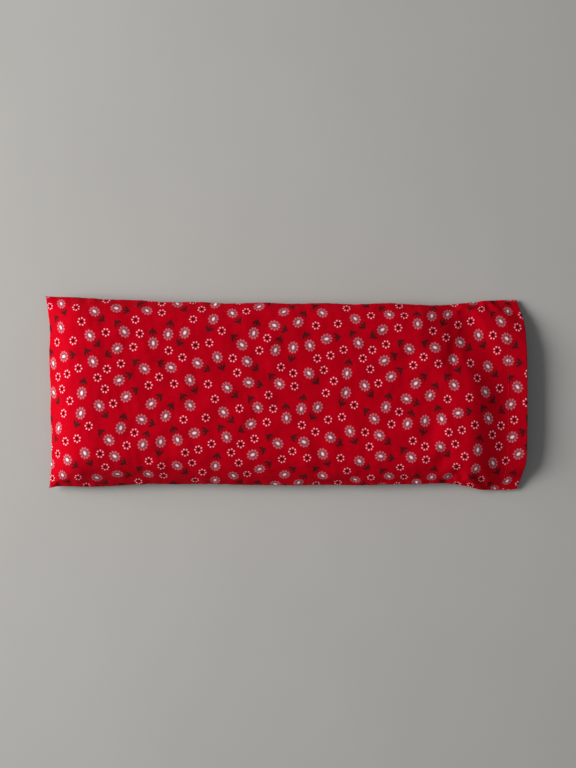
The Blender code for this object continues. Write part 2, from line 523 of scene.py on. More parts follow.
@dataclass(frozen=True)
class Calico:
    """Unbleached plain-weave cotton, loomstate, so it keeps darker husk flecks and slubs.

    Attributes:
        weave_repeat: length after which the weave repeats, in millimetres.
        fleck_edge, fleck_blur: how low the reversed noise falls in a fleck, and how softly.
    """

    pale: str = "#DCCFB4"
    dark: str = "#C4B28F"
    fleck: str = "#7A6240"
    weave_repeat: float = 0.45
    fleck_edge: float = 0.27
    fleck_blur: float = 0.03

    def make(self) -> Material:
        """Make the material; a fleck shows where a fine noise passes a high threshold.

        Returns:
            The material.
        """
        tree = Tree("calico_unbleached")
        cloth = tree.add("ShaderNodeUVMap", uv_map="cloth")
        relief = weave_relief(tree, cloth, self.weave_repeat)
        streaks = slubs(tree, cloth, length=14.0, width=0.7)
        ground = tree.add("ShaderNodeMix", streaks, output=2, data_type="RGBA",
                          inputs={6: linear(self.dark), 7: linear(self.pale)})
        noise = tree.add("ShaderNodeTexNoise", cloth, None, 0.9, 2.0, noise_dimensions="2D")
        rare = tree.add(MATH, 1.0, noise, operation="SUBTRACT")
        colour = tree.ink(ground, linear(self.fleck), rare, self.fleck_edge, self.fleck_blur)
        return tree.finish(colour, relief, 0.06 * MM, Roughness=0.88, Specular_IOR_Level=0.25,
                           Sheen_Weight=0.1, Sheen_Roughness=0.5)


@dataclass(frozen=True)
class SewingThread:
    """Spun polyester thread: plies twisted together, with a slight sheen."""

    name: str
    colour: str
    shadow: str
    twist: float = 0.5

    def make(self) -> Material:
        """Make the material; the twist is a slanted wave in millimetres along the thread.

        Returns:
            The material.
        """
        tree = Tree(self.name)
        along = tree.add("ShaderNodeUVMap", uv_map="thread")
        slant = tree.add("ShaderNodeVectorMath", along, (2 * np.pi / self.twist, 2 * np.pi, 0.0),
                         output="Value", operation="DOT_PRODUCT")
        plies = tree.add(MATH, slant, operation="SINE")
        relief = tree.add(MATH, plies, 0.5, 0.5, operation="MULTIPLY_ADD")
        colour = tree.add("ShaderNodeMix", relief, output=2, data_type="RGBA",
                          inputs={6: linear(self.shadow), 7: linear(self.colour)})
        return tree.finish(colour, relief, 0.06 * MM, Roughness=0.7, Specular_IOR_Level=0.2)


@dataclass(frozen=True)
class FlaxSeed:
    """Brown flax seed: a glossy husk, each seed its own shade of brown."""

    light: str = "#8A4B22"
    dark: str = "#4A230F"
    seeds_per_metre: float = 350.0

    def make(self) -> Material:
        """Make the material; cells of about a seed's size each take one shade.

        Returns:
            The material.
        """
        tree = Tree("flax_seed_husk")
        place = tree.add("ShaderNodeTexCoord", output="Object")
        cells = tree.add("ShaderNodeTexVoronoi", place, None, self.seeds_per_metre, output="Color")
        shade = tree.add("ShaderNodeSeparateXYZ", cells)
        relief = tree.add("ShaderNodeTexVoronoi", place, None, self.seeds_per_metre,
                          output="Distance")
        colour = tree.add("ShaderNodeMix", shade, output=2, data_type="RGBA",
                          inputs={6: linear(self.dark), 7: linear(self.light)})
        return tree.finish(colour, relief, 0.3 * MM, Roughness=0.32)


@dataclass(frozen=True)
class PaleFloor:
    """Matt pale board of the studio floor, barely mottled."""

    colour: str = "#B2AFAA"
    mottle: str = "#ABA8A3"

    def make(self) -> Material:
        """Make the material; a broad noise mixes two near greys.

        Returns:
            The material.
        """
        tree = Tree("floor_matt_board")
        place = tree.add("ShaderNodeTexCoord", output="Object")
        noise = tree.add("ShaderNodeTexNoise", place, None, 12.0, 3.0)
        colour = tree.add("ShaderNodeMix", noise, output=2, data_type="RGBA",
                          inputs={6: linear(self.mottle), 7: linear(self.colour)})
        return tree.finish(colour, noise, 0.02 * MM, Roughness=0.9, Specular_IOR_Level=0.2)


# ---------------------------------------------------------------- print layout


@dataclass
class FlowerLayout:
    """Where the print's motifs fall: an even scatter that repeats over the cloth.

    The repeat is a cell of column_width by cell_height, and each column is dropped by
    column_drop. Motifs are placed one by one, each at the trial place that is furthest from the
    others, and then placed again a few times, which evens the scatter out. All is in millimetres.

    Attributes:
        spray_count, ring_count: motifs of each kind in the cell.
        passes: how often every motif is placed.
        trials: trial places for each placing.
        seed: seed of the trial places.
        spray_discs: discs that cover a spray, each as place along it and radius.
        ring_disc: radius of the disc that covers a ring flower.
        under_shift: how far the print lies further on for the panels below.
    """

    column_width: float = 65.0
    cell_height: float = 80.0
    column_drop: float = -35.0
    spray_count: int = 32
    ring_count: int = 34
    passes: int = 10
    trials: int = 260
    seed: int = 11
    spray_discs: tuple = ((0.0, 3.2), (3.6, 1.2), (5.6, 2.1))
    ring_disc: float = 2.2
    under_shift: tuple = (23.0, 31.0)

    def __post_init__(self) -> None:
        """Place the sprays first, then the rings between them, then everything again."""
        rng = np.random.default_rng(self.seed)
        total = self.spray_count + self.ring_count
        self.is_spray = np.arange(total) < self.spray_count
        self.place = np.full((total, 3), np.nan)
        for step in range(self.passes * total):
            motif = step % total
            self.place[motif] = self.best_place(motif, rng)

    def nearest_image(self, offsets: np.ndarray) -> np.ndarray:
        """Bring offsets back to the nearest repeat of the cell.

        Args:
            offsets: offsets between places, with two coordinates.

        Returns:
            The shortest offsets, of the same shape.
        """
        columns = np.round(offsets[..., 0] / self.column_width)
        x = offsets[..., 0] - columns * self.column_width
        y = offsets[..., 1] - columns * self.column_drop
        y = y - np.round(y / self.cell_height) * self.cell_height
        return np.stack([x, y], -1)

    def discs(self, places: np.ndarray, spray: np.ndarray) -> tuple[np.ndarray, np.ndarray]:
        """Cover motifs with discs.

        Args:
            places: the motifs' places and headings, shape (motifs, 3).
            spray: for each, whether it is a spray.

        Returns:
            The discs' centres, shape (motifs, 3, 2), and radii.
        """
        along = np.array([d[0] for d in self.spray_discs])
        radii = np.array([d[1] for d in self.spray_discs])
        reach = np.where(spray[:, None], along, 0.0)
        heading = np.stack([np.cos(places[:, 2]), np.sin(places[:, 2])], -1)
        centres = places[:, None, :2] + reach[..., None] * heading[:, None, :]
        return centres, np.where(spray[:, None], radii, self.ring_disc)

    def best_place(self, motif: int, rng: np.random.Generator) -> np.ndarray:
        """Find the trial place with the most room to a motif's neighbours.

        Args:
            motif: number of the motif.
            rng: source of the trial places.

        Returns:
            Its new place and heading.
        """
        trial = np.stack([
            rng.uniform(0, self.column_width, self.trials),
            rng.uniform(0, self.cell_height, self.trials),
            rng.uniform(0, 2 * np.pi, self.trials),
        ], -1)
        if not np.isnan(self.place[motif, 0]):
            trial[0] = self.place[motif]
        others = ~np.isnan(self.place[:, 0])
        others[motif] = False
        if not others.any():
            return trial[0]
        mine, my_radii = self.discs(trial, np.repeat(self.is_spray[motif], self.trials))
        theirs, their_radii = self.discs(self.place[others], self.is_spray[others])
        mine, my_radii = mine.reshape(self.trials, 3, 1, 2), my_radii.reshape(self.trials, 3, 1)
        offsets = self.nearest_image(mine - theirs.reshape(1, 1, -1, 2))
        room = np.linalg.norm(offsets, axis=-1) - my_radii - their_radii.reshape(1, 1, -1)
        return trial[room.min(axis=(1, 2)).argmax()]

    def turned(self, offsets: np.ndarray, cos: np.ndarray, sin: np.ndarray) -> np.ndarray:
        """Offsets turned back by the angles that have these cosines and sines."""
        x, y = offsets[..., 0], offsets[..., 1]
        return np.stack([x * cos + y * sin, y * cos - x * sin], -1)

    def local(self, cloth: np.ndarray, spray: bool) -> np.ndarray:
        """Each face corner's place in the coordinates of the motif nearest its face.

        Args:
            cloth: corners' places on the flat cloth in millimetres, shape (faces, 4, 2).
            spray: True for the sprays and False for the rings.

        Returns:
            Places relative to the motif, turned so that it points along +X, of the same shape.
        """
        motifs = self.place[self.is_spray == spray]
        middle = cloth.mean(axis=1)
        offsets = self.nearest_image(middle[:, None, :] - motifs[None, :, :2])
        cos, sin = np.cos(motifs[:, 2]), np.sin(motifs[:, 2])
        middles = self.turned(offsets, cos, sin)
        past = np.clip(middles[..., 0], 0, self.spray_discs[-1][0] if spray else 0)
        nearest = np.hypot(middles[..., 0] - past, middles[..., 1]).argmin(axis=1)
        cos, sin = cos[nearest][:, None], sin[nearest][:, None]
        corners = self.turned(cloth - middle[:, None, :], cos, sin)
        return middles[np.arange(len(middle)), nearest][:, None, :] + corners


# ---------------------------------------------------------------- forms and simulation


@dataclass(frozen=True)
class BagForm:
    """A filled bag's outer form, which tapers to a seam at both ends.

    Across, from -1 to 1 between the side seams, the crown follows 1 - |across|^power, rounder on
    the low seam's side, and the base is flat over its middle. Along, both swell from the two
    ends, and the crown falls from the start to the stop. The filling has settled to one side, so
    the side seams stand at two heights. Both sink to one height at the stop. On the high seam's
    side the crown has its own run at the stop.

    Attributes:
        start_x, stop_x: its two ends, in metres as all that follows.
        half_width: half its width.
        base_z: height of its underside.
        crown_start_z, crown_stop_z: height of its crown at the two ends.
        seam_low_z, seam_high_z: heights of the side seams at across -1 and 1.
        seam_stop_z: height of the seam at the stop.
        seam_run: length over which the side seams sink to it.
        low_power, high_power: the crown's powers on the two sides.
        start_run, stop_run: lengths over which the crown swells at the two ends.
        stop_run_high: the run at the stop on the high seam's side.
        base_run: length over which the base swells at both ends.
    """

    start_x: float
    stop_x: float
    half_width: float
    base_z: float
    crown_start_z: float
    crown_stop_z: float
    seam_low_z: float
    seam_high_z: float
    seam_stop_z: float
    seam_run: float = 0.055
    low_power: float = 6.0
    high_power: float = 10.0
    start_run: float = 0.026
    stop_run: float = 0.013
    stop_run_high: float = 0.013
    base_run: float = 0.014

    def grown(self, by: float) -> BagForm:
        """Make the form larger on every side.

        Args:
            by: how much, in metres.

        Returns:
            The larger form.
        """
        return replace(self, start_x=self.start_x - by, stop_x=self.stop_x + by,
                       half_width=self.half_width + by, base_z=self.base_z - by,
                       crown_start_z=self.crown_start_z + by, crown_stop_z=self.crown_stop_z + by)

    def surface(self, x: np.ndarray, across: np.ndarray, side: np.ndarray) -> np.ndarray:
        """Work out points of the form.

        The crown swells by the power 3 from the start and 2.2 from the stop, and the base by the
        power 2. The crown falls from 15 % to 95 % of the length. The base stays flat over 72 % of
        the width.

        Args:
            x: places along it in metres; beyond an end, both panels lie at the seam's height.
            across: -1 to 1 from one side seam to the other.
            side: 1 on the crown and -1 on the base.

        Returns:
            Points in metres, of the inputs' shape with three coordinates.
        """
        high = ease((across + 0.1) / 0.9)
        stop_run = self.stop_run + (self.stop_run_high - self.stop_run) * high
        after, before = x - self.start_x, self.stop_x - x
        crown_full = swell(after, self.start_run, 3) * swell(before, stop_run, 2.2)
        base_full = swell(after, self.base_run, 2) * swell(before, self.base_run, 2)
        seam = self.seam_low_z + (self.seam_high_z - self.seam_low_z) * (across + 1) / 2
        seam = seam + (self.seam_stop_z - seam) * ease(1 - before / self.seam_run)
        along = after / (self.stop_x - self.start_x)
        fall = np.clip((along - 0.15) / 0.8, 0, 1)
        drop = self.crown_stop_z - self.crown_start_z
        crown_z = self.crown_start_z + drop * (fall + ease(fall)) / 2
        power = np.where(across < 0, self.low_power, self.high_power)
        crown = seam + (crown_z - seam) * (1 - np.abs(across) ** power) * crown_full
        flat = 1 - np.clip((np.abs(across) - 0.72) / 0.28, 0, 1) ** 2
        base = seam - (seam - self.base_z) * flat * base_full
        return np.stack([x, across * self.half_width, np.where(side > 0, crown, base)], -1)


@dataclass
class Pouch:
    """Two panels of one flat size, sewn together round three or four sides.

    Attributes:
        name: name of the pouch's meshes.
        flat_length: the panels' flat length between their ends, in metres.
        flat_width: the panels' flat width, in metres.
        closed_stop: whether the second end is sewn shut too.
        rows: steps along the pouch.
        columns: steps across it.
    """

    name: str
    flat_length: float
    flat_width: float
    closed_stop: bool
    rows: int
    columns: int

    def __post_init__(self) -> None:
        """Number the vertices so that the two panels share those on their seams."""
        along, across = np.meshgrid(
            np.linspace(0, 1, self.rows + 1),
            np.linspace(-1, 1, self.columns + 1),
            indexing="ij",
        )
        front = np.arange(along.size).reshape(along.shape)
        loose = (slice(1, -1 if self.closed_stop else None), slice(1, -1))
        back = front.copy()
        back[loose] = along.size + np.arange(along[loose].size).reshape(along[loose].shape)
        self.numbers = {Side.FRONT: front, Side.BACK: back}
        self.along = np.concatenate([along.ravel(), along[loose].ravel()])
        self.across = np.concatenate([across.ravel(), across[loose].ravel()])
        self.side = np.concatenate([np.ones(along.size), -np.ones(along[loose].size)])

    def faces(self) -> np.ndarray:
        """Quads of both panels, facing out."""
        back = grid_faces(self.numbers[Side.BACK])[:, ::-1]
        return np.concatenate([grid_faces(self.numbers[Side.FRONT]), back])

    def spread(self, shape: Callable, start_x: float, stop_x: float) -> np.ndarray:
        """Lay the pouch over a shape, with its cells even along the middle line and across.

        Across, the cells are even where the shape is cut at 40 % of its length.

        Args:
            shape: function of places along x, places across and sides, such as BagForm.surface.
            start_x: where the pouch starts.
            stop_x: where it stops.

        Returns:
            Vertex positions in metres.
        """
        t = np.linspace(0, 1, 801)
        middle = shape(start_x + t * (stop_x - start_x), 0 * t, 1 + 0 * t)
        x = start_x + even(middle, self.along) * (stop_x - start_x)
        across = self.across
        for side in Side:
            section = shape(0 * t + 0.6 * start_x + 0.4 * stop_x, 2 * t - 1, side.value + 0 * t)
            turned = 2 * even(section, (self.across + 1) / 2) - 1
            across = np.where(self.side == side.value, turned, across)
        return shape(x, across, self.side)

    def follow(self, form: BagForm) -> np.ndarray:
        """Lay the pouch over a form from end to end."""
        return self.spread(form.surface, form.start_x, form.stop_x)


@dataclass
class Draping:
    """Cloth simulation of a pouch round a hard core.

    It runs at ten times the real size, where Blender's collision distances are at their best,
    and the result is scaled back. The seam allowances and the air inside, which hold the real
    bag's form, aren't simulated: instead gravity is light, and no point moves further than the
    cap.

    Attributes:
        cap: the furthest that a point may move; moves near it are shortened smoothly.
        frames: how many frames it runs.
        enlarge: how much larger than life it runs.
        gap: distance that the cloth keeps from the core.
        gravity: share of the Earth's gravity.
        bending: stiffness of the single cloth.
        hem_bending: stiffness of the hem.
        hem_share: the share of the pouch's length that the hem takes up.
    """

    cap: float
    frames: int = 22
    enlarge: float = 10.0
    gap: float = 0.4 * MM
    gravity: float = 0.35
    bending: float = 6.0
    hem_bending: float = 36.0
    hem_share: float = 0.05

    def run(self, pouch: Pouch, start: np.ndarray, cores: list[Object]) -> np.ndarray:
        """Drape a pouch.

        Args:
            pouch: the pouch.
            start: its vertices round the cores, without touching them; also its rest shape.
            cores: hard things that it drapes over, as meshes in real size.

        Returns:
            Draped vertex positions in metres.
        """
        cloth = mesh_object(pouch.name, start * self.enlarge, pouch.faces())
        self.set_up_cloth(cloth, pouch)
        for core in cores:
            core.data.transform(Matrix.Scale(self.enlarge, 4))
            core.modifiers.new("Collision", "COLLISION")
            core.collision.thickness_outer = self.gap * self.enlarge
            core.collision.thickness_inner = 0.05
            core.collision.cloth_friction = 8
        scene = bpy.context.scene
        for number in range(1, self.frames + 1):
            scene.frame_set(number)
        draped = cloth.evaluated_get(bpy.context.evaluated_depsgraph_get()).data
        points = np.empty(len(draped.vertices) * 3)
        draped.vertices.foreach_get("co", points)
        scene.frame_set(1)
        self.remove([cloth, *cores])
        move = points.reshape(-1, 3) / self.enlarge - start
        return start + move / (1 + np.linalg.norm(move, axis=1, keepdims=True) / self.cap)

    def set_up_cloth(self, cloth: Object, pouch: Pouch) -> None:
        """Give a mesh the Cloth modifier, with its open edge stiffened by a hem.

        Args:
            cloth: the pouch's mesh.
            pouch: the pouch, which tells where the hem is.
        """
        hem = cloth.vertex_groups.new(name="hem")
        if not pouch.closed_stop:
            hemmed = np.flatnonzero(pouch.along > 1 - self.hem_share)
            hem.add([int(number) for number in hemmed], 1.0, "REPLACE")
        modifier = cloth.modifiers.new("Cloth", "CLOTH")
        modifier.point_cache.frame_end = self.frames + 1
        settings = modifier.settings
        settings.quality = 6
        settings.mass = 0.03
        settings.tension_stiffness = settings.compression_stiffness = 25
        settings.shear_stiffness = 8
        settings.tension_damping = settings.compression_damping = settings.shear_damping = 8
        settings.bending_stiffness = self.bending
        settings.vertex_group_bending = "hem"
        settings.bending_stiffness_max = self.hem_bending
        settings.bending_damping = 0.8
        settings.effector_weights.gravity = self.gravity
        settings.air_damping = 1.5
        collision = modifier.collision_settings
        collision.collision_quality = 3
        collision.distance_min = self.gap * self.enlarge
        collision.use_self_collision = True
        collision.self_distance_min = 0.5 * MM * self.enlarge
        collision.self_friction = 6

    def remove(self, helpers: list[Object]) -> None:
        """Delete helper objects and their meshes.

        Args:
            helpers: the objects.
        """
        for helper in helpers:
            mesh = helper.data
            bpy.data.objects.remove(helper, do_unlink=True)
            bpy.data.meshes.remove(mesh)


# ---------------------------------------------------------------- cloth panels and stitches


@dataclass
class ClothPanel:
    """One panel of a draped pouch, worked out again on a fine grid.

    Attributes:
        pouch: the pouch it belongs to.
        draped: the pouch's vertex positions.
        side: which panel of the pouch it is.
        filled_to: how far along the panel the filling reaches, in metres.
        lump: height of the filling's lumps, in metres.
        lump_pitch: their middle wavelength, in metres.
        seed: seed of its puckers and lumps.
        hem: length of the hem at the open end, or 0.
        hem_stitch_inset: from the mouth to the hem's stitches.
        fold_radius: radius of the fold at the mouth.
        thickness: thickness of the cloth.
        rows: steps along the panel.
        columns: steps across it.
    """

    pouch: Pouch
    draped: np.ndarray
    side: Side
    filled_to: float
    lump: float
    lump_pitch: float
    seed: int
    hem: float = 0.0
    hem_stitch_inset: float = 0.009
    fold_radius: float = 0.45 * MM
    thickness: float = 0.35 * MM
    rows: int = 300
    columns: int = 112

    def laid(self, along: np.ndarray, across: np.ndarray) -> np.ndarray:
        """Read the draped panel at rows and columns between its coarse ones.

        Args:
            along: 0 to 1 from the closed end, one value for each row.
            across: -1 to 1 between the side seams, one value for each column.

        Returns:
            Points of shape (rows, columns, 3).
        """
        grid = self.draped[self.pouch.numbers[self.side]]
        down = resampling(self.pouch.rows, along)
        over = resampling(self.pouch.columns, (across + 1) / 2)
        return np.einsum("ai,ijk,bj->abk", down, grid, over, optimize=True)

    def surface(self, along: np.ndarray,
                across: np.ndarray) -> tuple[np.ndarray, np.ndarray, np.ndarray]:
        """Work out the finished outer face, drawn in a little on its seams.

        Args:
            along: 0 to 1 from the closed end, one value for each row.
            across: -1 to 1 between the side seams, one value for each column.

        Returns:
            Points, outward normals and directions along the panel, each of shape
            (rows, columns, 3).
        """
        points = self.laid(along, across)
        step, aside = 0.5 / self.pouch.rows, 1.0 / self.pouch.columns
        forward = unit(self.laid(along + step, across) - self.laid(along - step, across))
        sideways = unit(self.laid(along, np.minimum(across + aside, 1)) -
                        self.laid(along, np.maximum(across - aside, -1)))
        normals = unit(np.cross(forward, sideways)) * self.side.value
        run, width = self.flat_places(along, across)
        points = points + normals * self.relief(run, width)[..., None]
        edge = self.pouch.flat_width / 2 - np.abs(width)
        points[..., 1] -= 0.4 * MM * np.sign(width) * bell(edge, 0.7 * MM)
        points[..., 0] += 0.4 * MM * bell(run, 0.7 * MM)
        points[..., 2] = np.maximum(points[..., 2], 0.02 * MM)
        return points, normals, forward

    def flat_places(self, along: np.ndarray, across: np.ndarray) -> tuple[np.ndarray, np.ndarray]:
        """Distances on the flat cloth: from the closed end, and from the middle line."""
        flat = along * self.pouch.flat_length, across * self.pouch.flat_width / 2
        return np.meshgrid(*flat, indexing="ij")

    def relief(self, run: np.ndarray, width: np.ndarray) -> np.ndarray:
        """Work out the height of the cloth over its draped form.

        The sum of the filling's lumps, puckers that die away from each seam as exp(-distance /
        3.5 mm), a soft swelling beside the seams, and a groove under the hem's stitches. All but
        the groove fade to nothing on the seams.

        Args:
            run: distance from the closed end on the flat cloth.
            width: distance from its middle line.

        Returns:
            Heights in metres.
        """
        edge = self.pouch.flat_width / 2 - np.abs(width)
        far = self.pouch.flat_length - run
        ends = np.minimum(run, far) if self.pouch.closed_stop else run
        sewn = np.minimum(edge, ends)
        held = 1 - bell(sewn, 1.2 * MM)
        filled = ease((self.filled_to - run) / 0.012) * ease(sewn / 0.010)
        lumps = self.lump * filled * (
            ripple(run, width, self.lump_pitch, self.seed)
            + 0.35 * ripple(run, width, 0.3 * self.lump_pitch, self.seed + 1))
        puckers = 0.2 * MM * (
            np.exp(-edge / 0.0035) * ripple(run, 0 * run, 0.0055, self.seed + 2)
            + np.exp(-ends / 0.0035) * ripple(0 * width, width, 0.0055, self.seed + 3))
        swelling = 0.2 * MM * bell(sewn - 1.8 * MM, 1.2 * MM)
        groove = 0.05 * MM * bell(far - self.hem_stitch_inset, 0.6 * MM) * (self.hem > 0)
        return held * (lumps + puckers + swelling) - groove

    def build(self, name: str, faces: tuple, layout: FlowerLayout | None = None) -> Object:
        """Make the panel's mesh with its hem and thickness.

        Args:
            name: the piece's name.
            faces: materials of the outer face and the reverse.
            layout: where the print's motifs fall, for a printed cloth.

        Returns:
            The finished piece.
        """
        along = crowded(self.rows, 0.45)
        across = 2 * crowded(self.columns, 0.6) - 1
        points, normals, forward = self.surface(along, across)
        run, width = self.flat_places(along, across)
        if self.hem:
            points, run, width = self.fold_hem(points, normals, forward, run, width, across)
        quads = grid_faces(np.arange(run.size).reshape(run.shape))
        if self.side is Side.BACK:
            quads = quads[:, ::-1]
        made = mesh_object(name, points.reshape(-1, 3), quads)
        cloth = np.stack([run.ravel(), width.ravel() * self.side.value], -1)[quads] / MM
        add_uv(made, "cloth", cloth)
        if layout:
            printed = cloth + np.array(layout.under_shift) * (self.side is Side.BACK)
            add_uv(made, "spray", layout.local(printed, spray=True))
            add_uv(made, "ring", layout.local(printed, spray=False))
        for material in faces:
            made.data.materials.append(material)
        wall = made.modifiers.new("Thickness", "SOLIDIFY")
        wall.thickness, wall.offset = self.thickness, -1.0
        wall.material_offset = wall.material_offset_rim = len(faces) - 1
        finish_mesh(made)
        return made

    def fold_hem(
            self, points: np.ndarray, normals: np.ndarray, forward: np.ndarray, run: np.ndarray,
            width: np.ndarray, across: np.ndarray) -> tuple[np.ndarray, np.ndarray, np.ndarray]:
        """Carry the panel round its mouth and back inside.

        The fold is a half circle: end + r * (forward * sin a - normal * (1 - cos a)). The inner
        layer is the outer one moved in by 2 r.

        Args:
            points, normals, forward: the outer face, as surface gives it.
            run, width: its flat places.
            across: -1 to 1 between the side seams, one value for each column.

        Returns:
            Points, runs and widths with the rows of the fold and the inner layer added.
        """
        turn = np.linspace(0, np.pi, 8)[1:-1, None, None]
        r = self.fold_radius
        fold = points[-1] + r * (forward[-1] * np.sin(turn) - normals[-1] * (1 - np.cos(turn)))
        back = np.linspace(0, self.hem, 16)
        inner, inward, _ = self.surface(1 - back / self.pouch.flat_length, across)
        inner = inner - 2 * r * inward
        past = np.concatenate([r * turn.ravel(), np.pi * r + back])
        more = self.pouch.flat_length + np.repeat(past[:, None], len(across), 1)
        return (np.concatenate([points, fold, inner]), np.concatenate([run, more]),
                np.concatenate([width, np.repeat(width[-1:], len(past), 0)]))


def finish_mesh(made: Object) -> None:
    """Apply a piece's modifiers, so that the mesh it keeps is the mesh it shows.

    Args:
        made: the piece.
    """
    shown = made.evaluated_get(bpy.context.evaluated_depsgraph_get())
    mesh = bpy.data.meshes.new_from_object(shown)
    old, made.data = made.data, mesh
    made.modifiers.clear()
    bpy.data.meshes.remove(old)
    mesh.name = made.name


def spaced(path: np.ndarray, pitch: float) -> tuple[np.ndarray, np.ndarray]:
    """Space places at an even pitch along a path.

    Args:
        path: points of the path, shape (n, 3).
        pitch: from one place to the next; it gives way so that they come out even.

    Returns:
        The places, and the path's direction at each.
    """
    reach = arc_length(path)
    count = max(int(reach[-1] / pitch), 1)
    at = (np.arange(count) + 0.5) * reach[-1] / count
    places, ahead, behind = (
        np.stack([np.interp(at + shift, reach, path[:, axis]) for axis in range(3)], -1)
        for shift in (0.0, 0.2 * pitch, -0.2 * pitch)
    )
    return places, unit(ahead - behind)


def stitches(name: str, places: np.ndarray, headings: np.ndarray, out: np.ndarray, length: float,
             material: Material, radius: float = 0.17 * MM) -> Object:
    """Short visible stitches, each a bent thread whose two ends dive into the cloth.

    Along a stitch, from -1 to 1, its middle line lies radius * (0.7 - 2.2 t^4) above the cloth.

    Args:
        name: the piece's name.
        places: the stitches' middles, shape (n, 3).
        headings: their unit directions.
        out: the cloth's unit normals there.
        length: length of a stitch.
        material: the thread.
        radius: the thread's radius.

    Returns:
        One piece that holds all the stitches.
    """
    t = np.linspace(-1, 1, 9)
    around = np.linspace(0, 2 * np.pi, 7)
    out = unit(out - headings * (out * headings).sum(-1, keepdims=True))
    aside = np.cross(headings, out)
    rise = radius * (0.7 - 2.2 * t**4)
    middle = (places[:, None] + headings[:, None] * (t * length / 2)[None, :, None]
              + out[:, None] * rise[None, :, None])
    spoke = (np.cos(around)[None, :, None] * aside[:, None]
             + np.sin(around)[None, :, None] * out[:, None])
    slim = radius * np.sqrt(1 - 0.75 * t**4)
    points = middle[:, :, None] + spoke[:, None] * slim[None, :, None, None]
    numbers = np.arange(points[..., 0].size).reshape(points.shape[:3])
    corners = [numbers[:, :-1, :-1], numbers[:, :-1, 1:], numbers[:, 1:, 1:], numbers[:, 1:, :-1]]
    quads = np.stack(corners, -1).reshape(-1, 4)
    made = mesh_object(name, points.reshape(-1, 3), quads)
    u, v = np.meshgrid(t * length / 2 / MM, around / (2 * np.pi), indexing="ij")
    uv = np.broadcast_to(np.stack([u, v], -1), (len(places), *u.shape, 2)).reshape(-1, 2)
    add_uv(made, "thread", uv[quads])
    made.data.materials.append(material)
    return made


def core_mesh(name: str, form: BagForm) -> Object:
    """A closed mesh of a form, for cloth to land on."""
    shell = Pouch(name, 1.0, 1.0, closed_stop=True, rows=90, columns=40)
    return mesh_object(name, shell.follow(form), shell.faces())


def table_mesh(name: str, height: float, half_size: float = 0.3) -> Object:
    """A level square at a height, in metres."""
    corners = half_size * np.array([[-1.0, -1, 0], [1, -1, 0], [1, 1, 0], [-1, 1, 0]])
    return mesh_object(name, corners + UP * height, np.array([[0, 1, 2, 3]]))


def declare(piece: Object, node: str) -> Object:
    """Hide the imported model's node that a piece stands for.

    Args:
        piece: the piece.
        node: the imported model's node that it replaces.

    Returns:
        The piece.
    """
    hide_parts(node)
    return piece


# ---------------------------------------------------------------- the eye pillow


